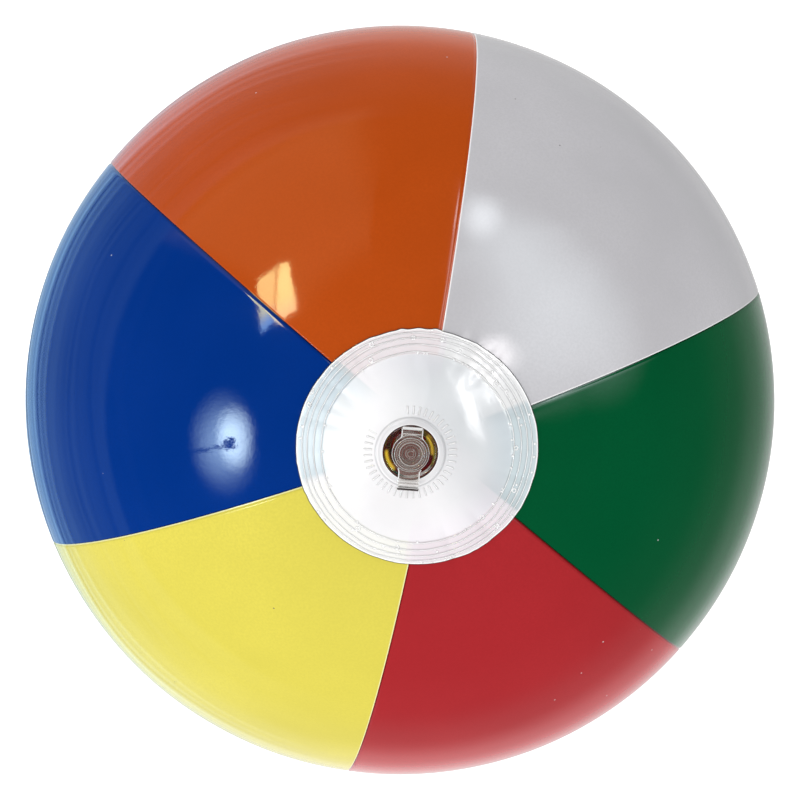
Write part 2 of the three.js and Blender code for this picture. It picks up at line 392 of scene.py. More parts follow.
def edge_columns(lap):
    """Columns along one panel edge: (inside the seam line, sink, rounding, painted edge tone)."""
    if lap == "over":
        rounded = ((0, 0.18, 1.0), (0.06, 0.07, 1.0), (0.2, 0, 0.7), (0.4, 0, 0.0), (0.9, 0, 0.0))
        columns = [(place - LAP_REACH, 0, rounding, tone) for place, rounding, tone in rounded]
        return [*columns, (LAP_REACH, 0, 0, 0.0)]
    layer = FILM + WELD_GAP
    climb = (
        (-0.1, 1, 1.0), (0.08, 1, 1.0), (0.22, 0.94, 0.8), (0.38, 0.75, 0.1), (0.52, 0.5, 0.0),
        (0.66, 0.25, 0.0), (0.82, 0.06, 0.0), (0.95, 0, 0.0), (1.5, 0, 0.0),
    )
    columns = [(LAP_REACH + place, sunk * layer, 0, tone) for place, sunk, tone in climb]
    return [(-LAP_REACH, layer, 0, 0.0), (0, layer, 0, 0.0), *columns]


def disc_from_panels():
    """Tilt and azimuth of the valve disc's centre, seen from the panels' pole, in radians."""
    def flat(pole):
        return np.radians(pole[0]) * np.exp(1j * np.radians(pole[1]))

    offset = flat(DISC_POLE) - flat(PANEL_POLE)
    return abs(offset), np.angle(offset)


def panel(colour, index, first_lap, last_lap):
    start = math.radians(SEAM_AZIMUTH + 60 * index)
    end = start + math.radians(60)
    tilt, centre_azimuth = disc_from_panels()
    end_angle = circle_angle(PANEL_END_RADIUS)
    down = np.linspace(0, 1, PANEL_ROWS + 1)

    def meridian(azimuth, inside):
        top = meridian_crossing(end_angle, tilt, azimuth - centre_azimuth)
        polar = top + (math.pi - end_angle - top) * down
        return polar, azimuth + inside / (BALL_RADIUS * np.sin(polar))

    firsts, lasts = edge_columns(first_lap), edge_columns(last_lap)[::-1]
    columns = [(*meridian(start, inside), *rest) for inside, *rest in firsts]
    closing = [(*meridian(end, -inside), *rest) for inside, *rest in lasts]
    opening = columns[-1]
    for t in np.linspace(0, 1, PANEL_COLUMNS + 1)[1:-1]:
        polar, _ = meridian(start + (end - start) * t, 0)
        azimuth = opening[1] + (closing[0][1] - opening[1]) * t
        columns.append((polar, azimuth, 0, 0, 0.0))
    columns += closing

    def face(depth, rounded):
        rows = [
            on_sphere(BALL_RADIUS - sink - depth - rounded * round_, polar, azimuth)
            for polar, azimuth, sink, round_, _ in columns
        ]
        return lay_on_film(np.array(rows) @ leaning(PANEL_POLE).T)

    piece = sheet(f"{colour}_panel_film", face(0, 1), face(FILM, 0), wrap=False)
    # Painted highlight and painted shade along each seam, from the columns' edge tones.
    shades = np.repeat([column[-1] for column in columns], PANEL_ROWS + 1)
    mark(piece, "edge", np.tile(shades, 2))
    dress(piece, vinyl(colour), "ball", f"panel_{colour}")


# ---- End discs ----

def settled(radius):
    """A disc's film lies a hair lower inside the panels' open end than on the panels."""
    return 0.05 * smooth(radius, 21.9, 22.7) - 0.05


def disc_lift(radius, rim):
    """How far a disc stands off its own sphere: a ring weld, a rim bead and a round edge."""
    from_rim = rim - radius
    ridges = sum(0.03 * bump(radius - ring, 0.3) for ring in WELD_RINGS)
    bead = 0.07 * bump(from_rim - 0.35, 0.3)
    edge = -0.18 * (1 - np.sqrt(np.clip(from_rim / 0.22, 0, 1)))
    return settled(radius) + ridges + bead + edge


def outline_wobble(seed):
    """Small raggedness of a disc's cut rim, in millimetres."""
    draw = np.random.default_rng(seed)
    wobble = np.zeros_like(SPOKES)
    for _ in range(46):
        place, width = draw.uniform(-math.pi, math.pi), draw.uniform(0.02, 0.07)
        wobble += 0.12 * draw.uniform(-0.6, 1) * bump(turn_from(SPOKES, place), width)
    for place, width, height in ((1.72, 0.035, 0.3), (1.58, 0.05, 0.25), (1.44, 0.04, 0.3)):
        wobble += height * bump(turn_from(SPOKES, place), width)
    return wobble


def collar(radius):
    """How far the valve disc's collar rises, with its rounded lip at the hole."""
    rise = smooth(COLLAR_RADIUS - radius, 0, 0.45)
    lip = 0.35 * (1 - np.sqrt(np.clip((radius - HOLE_RADIUS) / LIP_RADIUS, 0, 1)))
    return COLLAR_HEIGHT * (rise - lip)


def disc_film(name, centre, polar, radius, rim, lift, lip=0.0):
    """A disc's sheet from its grid of polar angles. centre turns the disc's pole to its place.

    lip marks a second painted shadow line and highlight, such as the one around the valve's hole.
    """
    underside = BALL_RADIUS + WELD_GAP
    outside = underside + FILM + lift + disc_lift(radius, rim)
    top = lay_on_film(on_sphere(outside, polar, SPOKES) @ centre.T)
    under = lay_on_film(on_sphere(underside + settled(radius), polar, SPOKES) @ centre.T)
    piece = sheet(name, top, under, wrap=True)
    # The edge tone paints a dark shadow line on the cut edges and a highlight just inside them.
    tones = np.maximum(1 - smooth(rim - radius, 0.05, 0.75), lip)
    mark(piece, "edge", np.stack([tones, tones]))
    mark(piece, "under", np.stack([0 * tones, 0 * tones + 1]))
    return piece


def valve_disc():
    """The milky disc around the valve, welded over the panels' ends."""
    tilt, centre_azimuth = (math.radians(a) for a in DISC_POLE)
    lip = HOLE_RADIUS + LIP_RADIUS * np.linspace(0, 1, 6) ** 2
    inner = np.concatenate([lip, np.arange(6.9, 8.6, 0.15), np.arange(9, 13, 0.8)])
    oval = 1 + DISC_OVALITY * np.cos(2 * (SPOKES - math.radians(DISC_LONG_AXIS)))
    rim = DISC_RADIUS * oval + outline_wobble(seed=11)
    own_radius = RIM_SHARES * rim
    outer = meridian_crossing(circle_angle(own_radius), tilt, SPOKES - centre_azimuth)
    near = np.broadcast_to(circle_angle(inner), (DISC_SPOKES, len(inner)))
    steps = np.linspace(0, 1, 12)[1:-1]
    between = near[:, -1:] + (outer[:, :1] - near[:, -1:]) * steps
    polar = np.concatenate([near, between, outer], axis=1)
    from_valve = BALL_RADIUS * np.sin(polar)
    radius = np.concatenate([np.zeros((DISC_SPOKES, len(inner) + len(steps))), own_radius], axis=1)
    hole_edge_shading = 1 - smooth(from_valve - HOLE_RADIUS, 0.08, 0.45)
    lift = collar(from_valve)
    piece = disc_film("valve_disc_film", np.eye(3), polar, radius, rim, lift, hole_edge_shading)
    material = milky_vinyl("valve_disc_vinyl", leaning(DISC_POLE), with_ticks=True)
    dress(piece, material, "ball", "valve_end_disc")


def plain_disc():
    """The milky disc over the far pole. A small weld dimple marks its middle."""
    share = np.concatenate([[0.004], np.linspace(0.02, 0.75, 26), RIM_SHARES])
    rim = DISC_RADIUS + outline_wobble(seed=23)
    radius = share * rim
    dimple = 0.15 * bump(radius - 3.2, 0.6)
    piece = disc_film("plain_disc_film", far_pole(), circle_angle(radius), radius, rim, dimple)
    close_centre(piece)
    material = milky_vinyl("plain_disc_vinyl", far_pole(), with_ticks=False)
    dress(piece, material, "ball", "plain_end_disc")


def close_centre(piece):
    """Closes the pinhole in the middle of a disc made as a ring, by taking out its wall."""
    mesh = piece.data
    rows = len(mesh.vertices) // (2 * DISC_SPOKES)
    top = [i * rows for i in range(DISC_SPOKES)]
    under = [v + rows * DISC_SPOKES for v in top]
    pinhole = set(top) | set(under)
    points = [v.co[:] for v in mesh.vertices]
    kept = {name: [v.value for v in mesh.attributes[name].data] for name in ("edge", "under")}
    faces = [list(p.vertices) for p in mesh.polygons if not set(p.vertices) <= pinhole]
    mesh.clear_geometry()
    mesh.from_pydata(points, [], faces + [top, under[::-1]])
    for name, values in kept.items():
        mark(piece, name, values)
    smooth_faces(mesh)


# ---- Valve ----

def flange():
    """The moulded ring under the valve disc that carries the valve."""
    hole, rim = circle_angle(HOLE_RADIUS), circle_angle(box_mm("valve_flange")[1].x)
    thickness = 0.78

    def arc(radius, start, stop):
        turn = np.linspace(start, stop, 9)
        return list(zip(radius * np.sin(turn), radius * np.cos(turn)))

    top = BALL_RADIUS - 0.14
    ring = lathe("flange_ring", [*arc(top - thickness, hole, rim), *arc(top, rim, hole)])
    dress(ring, clear_vinyl(), "ball", "valve_flange")


def skirt():
    """The thin funnel between flange and stem, rolled over at the top."""
    low, high = box_mm("valve_skirt")
    neck = box_mm("valve_stem")[1].x + 0.1
    wall = 0.2
    t = np.linspace(0, 1, 25)
    radius = neck + (high.x + 0.2 - neck) * (0.55 * t + 0.45 * t ** 3)
    height = low.z + (high.z - low.z) * (1 - (1 - t) ** 1.6)
    inside = [(r - wall, h) for r, h in zip(radius, height)]
    outside = list(zip(radius, height))
    piece = lathe("skirt_funnel", [*outside, *inside[::-1]])
    dress(piece, glassy_vinyl(), None, "valve_skirt")
    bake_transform(piece)


def stem():
    """The short tube with a rim that the plug closes."""
    low, high = box_mm("valve_stem")
    rim, bore, wall = high.x, 3.1, 4.0
    under_rim = high.z - 0.8
    tube = [(bore, low.z), (wall, low.z), (wall, under_rim)]
    # Painted shade under the rim and painted highlights on its top edges.
    collar_top = [(rim, under_rim, -0.6), (rim, high.z, 1), (bore, high.z, 0.5)]
    piece = lathe("stem_tube", fillet(tube + collar_top, 0.16))
    dress(piece, clear_vinyl(), "stem", "valve_stem")


def fold_shade_and_highlight(angle):
    """Painted light on the strap's fold: a dark shade at its end and pale highlights beside it."""
    from_end = abs(math.degrees(angle) + 180)
    return -1.0 if from_end < 74 else (0.9 if from_end < 88 else 0.0)


def strap():
    """The flat strap, out from the stem's rim, round its fold and back to the plug."""
    low, high = box_mm("hinge_strap")
    hinge = Vector(joint("plug_hinge")["pos_m"]) / MM
    fold = (high.z - low.z) / 2 - STRIP_HALF_THICKNESS
    fold_y = hinge.y + FOLD_INSET
    stem_side = -box_mm("valve_stem")[1].x + 0.2
    plug_side = -box_mm("plug")[1].x + 0.25
    turn = np.linspace(-math.pi / 2, -3 * math.pi / 2, 25)
    run_out = [(y, hinge.z - fold, 0) for y in np.linspace(stem_side, fold_y, 14)[:-1]]
    arc = [(fold_y + fold * math.cos(a), hinge.z + fold * math.sin(a), fold_shade_and_highlight(a)) for a in turn]
    run_back = [(y, hinge.z + fold, 0) for y in np.linspace(fold_y, plug_side, 24)[1:]]
    # Painted highlights and one painted shade line across the strap's run back to the plug.
    for place, tone in ((1, 0.6), (2, 0.6), (3, 0.6), (4, -0.25), (6, 0.9), (8, 0.3)):
        run_back[place] = (*run_back[place][:2], tone)
    path = run_out + arc + run_back
    widths = np.full(len(path), (high.x - low.x) / 2)
    widths[-6:] += np.linspace(0, 0.45, 6) ** 1.5
    piece = sweep("folded_strap", path, widths, STRIP_HALF_THICKNESS)
    dress(piece, clear_vinyl(), None, "hinge_strap")
    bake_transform(piece)


def plug():
    """The stopper: a round stepped head over a tapered peg."""
    low, high = box_mm("plug")
    head, top, tip = high.x, high.z, low.z
    under = top - 0.9
    # The third numbers paint highlights (above 0) and shade (below 0) on the head's edges and
    # rings.
    peg = [(0, tip), (2.4, tip, 0.3), (2.8, under - 0.7), (2.8, under)]
    side = [(head, under, -0.8), (head, top, 1)]
    groove = [(3.25, top, 0.4), (3.1, top - 0.22, -0.8), (2.85, top - 0.22, -0.3), (2.7, top, 0.8)]
    hollow = [(2.05, top, 0.3), (1.9, top - 1.0, -0.7), (1.3, top - 1.0), (1.2, top - 0.7, 0.5)]
    middle = [(0.82, top - 0.7, -0.4), (0.72, top - 0.4, 0.5), (0, top - 0.4)]
    stopper = lathe("plug_stopper", fillet([*peg, *side, *groove, *hollow, *middle], 0.12))
    dress(stopper, clear_vinyl(), "plug", "plug")


def tab():
    """The pull tab, a flat tongue with an upturned lip."""
    low, high = box_mm("pull_tab")
    half = STRIP_HALF_THICKNESS
    level = low.z + half
    root = box_mm("plug")[1].x - 0.25
    bend = 0.5
    turn = np.linspace(-math.pi / 2, -0.25, 8)
    corner = high.y - half - bend
    straight = [(y, level, 0) for y in np.linspace(root, corner, 12)[:-1]]
    # Painted highlights across the tongue and its lip, and a painted shade line on the lip.
    straight[6] = (*straight[6][:2], 0.8)
    arc = [
        (corner + bend * math.cos(a), level + bend + bend * math.sin(a), tone)
        for a, tone in zip(turn, (0, 0, 0.8, 1.0, 0.5, 0, -0.5, 0))
    ]
    path = straight + arc + [(high.y - half, high.z - 0.6 * half, 1.0)]
    widths = np.full(len(path), (high.x - low.x) / 2)
    widths[:3] += np.linspace(0.3, 0, 3)
    widths[-4:] -= np.linspace(0, 0.35, 4)
    tongue = sweep("pull_tongue", path, widths, half)
    dress(tongue, clear_vinyl(), "plug", "pull_tab")


def flap():
    """The thin round check flap, hung from a short tail under the stem."""
    low, high = box_mm("check_flap")
    radius, half_tail = high.x, 1.5
    tail_angle = math.asin(half_tail / radius)
    turns = np.linspace(-math.pi / 2 + tail_angle, 1.5 * math.pi - tail_angle, 60)
    rim = [(radius * math.cos(a), radius * math.sin(a)) for a in turns]
    outline = np.array([(-half_tail, low.y), (half_tail, low.y), *rim])
    chamfer = 0.08
    inset = 1 - chamfer / radius
    layers = [(inset, low.z), (1, low.z + chamfer), (1, high.z - chamfer), (inset, high.z)]
    points, faces, count = [], [], len(outline)
    for share, height in layers:
        points += [(x * share, y * share, height) for x, y in outline]
    for level in range(len(layers) - 1):
        for k in range(count):
            a, b = level * count + k, level * count + (k + 1) % count
            faces.append([a, b, b + count, a + count])
    faces += [list(range(count))[::-1], list(range(3 * count, 4 * count))]
    piece = make_mesh("flap_disc", points, faces)
    mark(piece, "edge", np.zeros(len(points)))
    dress(piece, clear_vinyl(), "flap", "check_flap")


# ---- Materials ----

VINYL_IOR = 1.5
WHITE = (1.0, 1.0, 1.0, 1.0)


class Nodes:
    """Short hands for building one node tree."""

    def __init__(self, tree, coordinates="Object"):
        self.tree = tree
        self.place = self.add("ShaderNodeTexCoord").outputs[coordinates]

    def add(self, kind, *first, **named):
        """A new node. first goes to its first sockets, named to sockets or its own settings."""
        node = self.tree.nodes.new(kind)
        for key, value in named.items():
            if key in node.inputs:
                self.feed(value, node.inputs[key])
            else:
                setattr(node, key, value)
        for value, socket in zip(first, node.inputs):
            self.feed(value, socket)
        return node

    def feed(self, value, socket):
        if isinstance(value, bpy.types.NodeSocket):
            self.tree.links.new(value, socket)
        else:
            socket.default_value = value

    def calc(self, operation, *values, clamp=False):
        node = self.add("ShaderNodeMath", *values, operation=operation, use_clamp=clamp)
        return node.outputs[0]

    def product(self, first, *others):
        for value in others:
            first = self.calc("MULTIPLY", first, value)
        return first

    def length(self, x, y):
        return self.calc("SQRT", self.calc("MULTIPLY_ADD", x, x, self.product(y, y)))

    def parts(self, vector):
        return self.add("ShaderNodeSeparateXYZ", vector).outputs[:3]

    def flat_place(self):
        """X and Y of the place, in millimetres."""
        return [self.calc("DIVIDE", part, MM) for part in self.parts(self.place)[:2]]

    def dot(self, vector, fixed):
        node = self.add("ShaderNodeVectorMath", vector, fixed, operation="DOT_PRODUCT")
        return node.outputs["Value"]

    def turns(self, x, y):
        """The azimuth of a place, in turns from -0.5 to 0.5."""
        return self.calc("DIVIDE", self.calc("ARCTAN2", y, x), 2 * math.pi)

    def remap(self, value, numbers, interpolation="LINEAR"):
        node = self.add("ShaderNodeMapRange", value, *numbers, interpolation_type=interpolation)
        return node.outputs["Result"]

    def between(self, value, low, high, new_low, new_high):
        """Low to high become new_low to new_high, in a straight line that stops at both."""
        return self.remap(value, (low, high, new_low, new_high))

    def step(self, value, low, high):
        """A smooth step from 0 at low to 1 at high. low may be the larger one."""
        flip = low > high
        span = (min(low, high), max(low, high), float(flip), float(not flip))
        return self.remap(value, span, "SMOOTHSTEP")

    def ridge(self, value, centre, half_width):
        """1 where value is centre, down to 0 half_width away on either side."""
        away = self.calc("ABSOLUTE", self.calc("SUBTRACT", value, centre))
        return self.step(away, half_width, 0)

    def noise(self, scale, detail):
        node = self.add("ShaderNodeTexNoise", self.place, Scale=scale, Detail=detail)
        return node.outputs["Fac"]

    def patchy(self, scale, detail, low, high):
        """Noise whose usual values are spread over low to high."""
        return self.between(self.noise(scale, detail), 0.3, 0.7, low, high)

    def cells(self, scale, vector, **values):
        """A pattern of random cells: the distance from a cell's middle, and its random colour."""
        node = self.add("ShaderNodeTexVoronoi", vector, Scale=scale, **values)
        colour = self.add("ShaderNodeSeparateColor", node.outputs["Color"])
        return node.outputs["Distance"], colour

    def mix(self, share, first, second, blend="MIX"):
        node = self.add("ShaderNodeMix", data_type="RGBA", blend_type=blend)
        for number, value in ((0, share), (6, first), (7, second)):
            self.feed(value, node.inputs[number])
        return node.outputs[2]

    def ramp(self, value, stops, interpolation="LINEAR"):
        """A colour that runs through stops of (position, colour)."""
        node = self.add("ShaderNodeValToRGB", value)
        node.color_ramp.interpolation = interpolation
        elements = node.color_ramp.elements
        while len(elements) < len(stops):
            elements.new(0.5)
        for element, (position, colour) in zip(elements, stops):
            element.position = position
            element.color = colour
        return node.outputs["Color"]


class Material(Nodes):
    """A new material, with short hands for its shader's sockets."""

    def __init__(self, name):
        self.material = bpy.data.materials.new(name)
        self.material.use_nodes = True
        super().__init__(self.material.node_tree)
        self.shader = self.tree.nodes["Principled BSDF"]

    def put(self, value, socket):
        self.feed(value, self.shader.inputs[socket])

    def attribute(self, name):
        return self.add("ShaderNodeAttribute", attribute_name=name).outputs["Fac"]

    def facing(self):
        """0 where the surface faces the viewer, 1 where it is seen edge-on."""
        return self.add("ShaderNodeLayerWeight", Blend=0.5).outputs["Facing"]

    def bumps(self, height, distance, strength, below=None):
        """A surface normal with the given relief, on top of the one below."""
        node = self.add("ShaderNodeBump", Height=height, Distance=distance, Strength=strength)
        if below is not None:
            self.feed(below, node.inputs["Normal"])
        return node.outputs["Normal"]


def shade(colour, factor):
    return (*[min(1.0, c * factor) for c in colour], 1.0)


def specks(nodes, scale, radius, share):
    """1 on tiny scattered dots. share is the share of a grid's cells that hold a dot."""
    distance, colour = nodes.cells(scale, nodes.place)
    dot = nodes.between(distance, radius, radius * 0.6, 0, 1)
    return nodes.product(dot, nodes.calc("LESS_THAN", colour.outputs["Red"], share))


def vinyl(colour):
    """Glossy pigmented vinyl film: faint clouds and grain, dust specks, orange peel."""
    nodes = Material(f"vinyl_{colour}_film")
    (base, painted_seam_tone, _), gain = FILMS[colour], RIM_LIGHT_GAIN[colour]
    tone = nodes.mix(nodes.patchy(22, 3, 0, 1), shade(base, 0.93), shade(base, 1.06))
    tone = nodes.mix(nodes.patchy(1600, 1, 0, 0.5), tone, shade(base, 0.88))
    dust = DARK_DUST if colour in ("white", "yellow") else PALE_DUST
    tone = nodes.mix(specks(nodes, 95, 0.024, 0.5), tone, dust)
    # Painted light along the welded edges: a highlight where the seam tone is pale, shade where
    # dark.
    edge = nodes.between(nodes.attribute("edge"), 0, 1, 0, 0.9)
    tone = nodes.mix(edge, tone, (*painted_seam_tone, 1))
    # Painted rim light: the colour is made paler where the film is seen edge-on.
    seen_aslant = nodes.step(nodes.facing(), 0.56, 0.92)
    tone = nodes.mix(seen_aslant, tone, (gain, gain, gain, 1), "MULTIPLY")
    nodes.put(tone, "Base Color")
    nodes.put(nodes.patchy(45, 3, 0.035, 0.08), "Roughness")
    peel = nodes.bumps(nodes.noise(1100, 2), 0.00002, 0.35)
    nodes.put(nodes.bumps(nodes.noise(160, 2), 0.0002, 0.08, peel), "Normal")
    nodes.put(VINYL_IOR, "IOR")
    nodes.put(0.4, "Specular IOR Level")
    return nodes.material


def weld_lines(nodes, radius):
    """The ring weld's raised lines and the painted shade beside them, which come and go."""
    wavy = nodes.calc("ADD", radius, nodes.patchy(140, 2, -0.12, 0.12))
    strength = nodes.patchy(90, 1, 0.35, 1.3)
    lines, groove = 0.0, 0.0
    for ring in WELD_RINGS:
        lines = nodes.calc("ADD", lines, nodes.ridge(wavy, ring, 0.24))
        # Painted shade just inside each line; the surface has no groove there.
        groove = nodes.calc("ADD", groove, nodes.ridge(wavy, ring - 0.31, 0.19))
    groove = nodes.product(groove, nodes.calc("SUBTRACT", 1.35, strength))
    return nodes.product(lines, strength), groove


def disc_relief(nodes, centre, with_ticks):
    """A disc's fine marks, their height in millimetres, their painted shade, and the radius."""
    turned = Matrix(centre.T.tolist()).to_euler()
    local = nodes.add("ShaderNodeMapping", nodes.place, Rotation=turned, Scale=(1 / MM,) * 3)
    x, y, _ = nodes.parts(local.outputs[0])
    radius = nodes.length(x, y)
    lines, groove = weld_lines(nodes, radius)
    welded = nodes.step(radius, *WELD_START)

    flat = nodes.add("ShaderNodeCombineXYZ", x, y).outputs[0]
    distance, colour = nodes.cells(0.30, flat, voronoi_dimensions="2D")
    chosen = nodes.calc("LESS_THAN", colour.outputs["Red"], 0.22)
    blisters = nodes.product(nodes.ridge(distance, 0.13, 0.09), chosen, welded)

    around = nodes.product(nodes.calc("ARCTAN2", y, x), 9.0)
    spread = nodes.add("ShaderNodeCombineXYZ", around, nodes.product(radius, 0.36)).outputs[0]
    distance, colour = nodes.cells(1.0, spread, voronoi_dimensions="2D")
    chosen = nodes.calc("LESS_THAN", colour.outputs["Green"], 0.25)
    nicks = nodes.product(nodes.step(distance, 0.17, 0.02), chosen, welded)

    marks = nodes.product(lines, 0.145)
    marks = nodes.calc("MULTIPLY_ADD", blisters, 0.12, marks)
    marks = nodes.calc("MULTIPLY_ADD", nicks, 0.14, marks)
    if with_ticks:
        ticks, dark = tick_ring(nodes)
        marks = nodes.calc("MULTIPLY_ADD", ticks, 0.16, marks)
        groove = nodes.calc("MAXIMUM", groove, dark)
    return marks, groove, radius


def tick_ring(nodes):
    """A plain moulded ring of even bars about the valve, and the painted shade about its collar.
    """
    inner, outer = TICK_RADII
    middle, half = (outer + inner) / 2, (outer - inner) / 2
    x, y = nodes.flat_place()
    radius, turns = nodes.length(x, y), nodes.turns(x, y)
    place = nodes.product(turns, float(TICK_COUNT))
    from_bar = nodes.calc("SUBTRACT", place, nodes.calc("ROUND", place))
    across = nodes.product(from_bar, radius, 2 * math.pi / TICK_COUNT)
    from_middle = nodes.calc("ABSOLUTE", nodes.calc("SUBTRACT", radius, middle))
    bars = nodes.product(nodes.step(from_middle, half, half - 0.2), nodes.ridge(across, 0, 0.32))
    start, end = (azimuth / 360 for azimuth in TICK_GAP)
    from_gap = nodes.calc("ABSOLUTE", nodes.calc("SUBTRACT", turns, (start + end) / 2))
    kept = nodes.calc("GREATER_THAN", from_gap, (end - start) / 2)
    patches = nodes.between(nodes.noise(55, 1), 0.35, 0.65, 0.25, 0.9)
    # Painted shade at the collar's foot and on its slope.
    foot = nodes.product(nodes.ridge(radius, COLLAR_RADIUS + 0.1, 0.35), 0.7)
    slope = nodes.product(nodes.ridge(radius, COLLAR_RADIUS - 0.75, 0.6), patches, 0.4)
    return nodes.product(bars, kept), nodes.calc("MAXIMUM", foot, slope)


def painted_panel_tint(nodes, centre):
    """The faint painted tint of each panel's light on the milky film where it ends underneath."""
    side = 1 if centre[2][2] > 0 else -1
    pole = leaning(PANEL_POLE)[:, 2] * BALL_RADIUS * side
    x, y = (
        nodes.calc("SUBTRACT", part, float(middle))
        for part, middle in zip(nodes.flat_place(), pole)
    )
    stops = []
    for number, (name, *_) in enumerate(PANELS):
        start = SEAM_AZIMUTH + 60 * number
        painted_tint = FILMS[name][2]
        # Painted shade darkens that tint beside each seam.
        edge, tint = shade(painted_tint, SEAM_SHADE.get(name, 1.0)), shade(painted_tint, 1.0)
        for azimuth, colour in ((0.1, edge), (10, tint), (50, tint), (59.9, edge)):
            stops.append(((start + azimuth + 180) % 360 / 360, colour))
    return nodes.ramp(nodes.calc("ADD", nodes.turns(x, y), 0.5), sorted(stops))


def milky_vinyl(name, centre, with_ticks):
    """Thin milky translucent vinyl of an end disc: clearer where the ring weld pressed it."""
    nodes = Material(name)
    marks, groove, radius = disc_relief(nodes, centre, with_ticks)
    clouds = nodes.patchy(60, 3, 0, 1)
    x, y, _ = nodes.parts(nodes.place)
    slant = nodes.calc("MULTIPLY_ADD", y, 0.7, x)  # brighter towards one side, as the light is
    tone = nodes.mix(clouds, (0.755, 0.78, 0.805, 1), (0.80, 0.82, 0.845, 1))
    tone = nodes.mix(nodes.step(slant, 0.016, -0.004), tone, (0.985, 0.985, 1.0, 1))
    welded = nodes.step(radius, 22.2, 22.7)
    tone = nodes.mix(nodes.product(welded, 0.92), tone, WHITE)
    # Painted tint of the panels' light, over the middle and the welded ring.
    reach = nodes.product(nodes.step(radius, 14.0, 21.5), nodes.between(clouds, 0, 1, 0.35, 0.65))
    reach = nodes.calc("MAXIMUM", reach, welded)
    tone = nodes.mix(reach, tone, painted_panel_tint(nodes, centre), "MULTIPLY")
    edge = nodes.attribute("edge")
    # Painted highlight just inside the cut edges, and a painted shadow line on them.
    rim, cut = nodes.step(edge, 0.0, 0.35), nodes.step(edge, 0.55, 0.95)
    tone = nodes.mix(rim, tone, WHITE)
    # Painted shade beside the raised lines and about the collar; painted highlight on raised
    # marks.
    tone = nodes.mix(nodes.between(groove, 0, 1, 0, 0.58), tone, GROOVE_SHADE_GREY)
    tone = nodes.mix(nodes.between(marks, 0.02, 0.08, 0, 0.85), tone, WHITE)
    nodes.put(nodes.mix(cut, tone, CUT_EDGE_SHADOW), "Base Color")

    # Painted light too: the welded ring is less clear on the side the light comes from.
    cleared = nodes.calc("MULTIPLY_ADD", nodes.step(slant, -0.012, -0.022), 0.065, -0.105)
    body = nodes.calc("MULTIPLY_ADD", welded, cleared, nodes.patchy(90, 3, 0.80, 0.85))
    # The painted highlights are made opaque, and the painted shadow line a little clearer.
    solid = nodes.calc("MAXIMUM", rim, nodes.between(marks, 0.02, 0.08, 0, 1))
    solid = nodes.calc("MAXIMUM", body, nodes.product(solid, 0.97))
    solid = nodes.calc("MULTIPLY_ADD", cut, -0.25, solid)
    on_top = nodes.calc("SUBTRACT", 1.0, nodes.attribute("under"))
    nodes.put(nodes.product(solid, on_top), "Alpha")
    nodes.put(nodes.patchy(70, 3, 0.06, 0.11), "Roughness")
    grain = nodes.bumps(nodes.noise(700, 2), 0.00003, 0.4)
    nodes.put(nodes.bumps(marks, 1.7 * MM, 1.0, grain), "Normal")
    nodes.put(VINYL_IOR, "IOR")
    return nodes.material


@functools.cache
def clear_vinyl():
    """Clear soft vinyl of the valve moulding: it shows most at its edges and bends."""
    nodes = Material("vinyl_clear_moulding")
    edge = nodes.attribute("edge")
    # The edge tone paints highlights (pale) and shade lines (dark) along edges and bends.
    bright, dark = nodes.between(edge, 0, 1, 0, 1), nodes.between(edge, 0, -1, 0, 1)
    tone = nodes.mix(nodes.patchy(300, 2, 0, 1), (0.45, 0.38, 0.33, 1), (0.55, 0.49, 0.44, 1))
    tone = nodes.mix(bright, tone, (0.92, 0.93, 0.93, 1))
    nodes.put(nodes.mix(dark, tone, (0.03, 0.02, 0.02, 1)), "Base Color")
    aslant = nodes.calc("POWER", nodes.facing(), 3.0)
    body = nodes.calc("MULTIPLY_ADD", aslant, 0.35, nodes.patchy(220, 3, 0.06, 0.10))
    lines = nodes.calc("MULTIPLY_ADD", bright, 0.55, nodes.product(dark, 0.85))
    nodes.put(nodes.calc("ADD", body, lines), "Alpha")
    nodes.put(nodes.patchy(500, 2, 0.06, 0.14), "Roughness")
    nodes.put(nodes.bumps(nodes.noise(900, 2), 0.00003, 0.3), "Normal")
    nodes.put(VINYL_IOR, "IOR")
    return nodes.material


def glassy_vinyl():
    """The skirt's thin clear wall, which bends what is seen through it, with a painted glow."""
    nodes = Material("vinyl_clear_wall")
    tone = nodes.mix(nodes.patchy(300, 2, 0, 1), (0.90, 0.86, 0.82, 1), (0.97, 0.95, 0.93, 1))
    nodes.put(tone, "Base Color")
    nodes.put(nodes.patchy(500, 2, 0.02, 0.06), "Roughness")
    nodes.put(VINYL_IOR, "IOR")
    nodes.put(1.0, "Transmission Weight")
    x, y = nodes.flat_place()
    radius = nodes.length(x, y)
    # Painted glow: a few spots of the wall shine yellow, standing for light that it catches.
    painted_glow = 0.0
    for azimuth, ring, half_width, strength in SKIRT_PAINTED_GLOWS:
        turn = math.radians(azimuth)
        along = nodes.calc("MULTIPLY_ADD", x, math.cos(turn), nodes.product(y, math.sin(turn)))
        near = nodes.step(nodes.calc("DIVIDE", along, radius), 0.86, 0.95)
        spot = nodes.product(near, nodes.ridge(radius, ring, half_width))
        painted_glow = nodes.calc("MULTIPLY_ADD", spot, strength, painted_glow)
    nodes.put(painted_glow, "Emission Strength")
    nodes.put((0.62, 0.42, 0.03, 1), "Emission Color")
    return nodes.material


# ---- Camera, light and floor ----

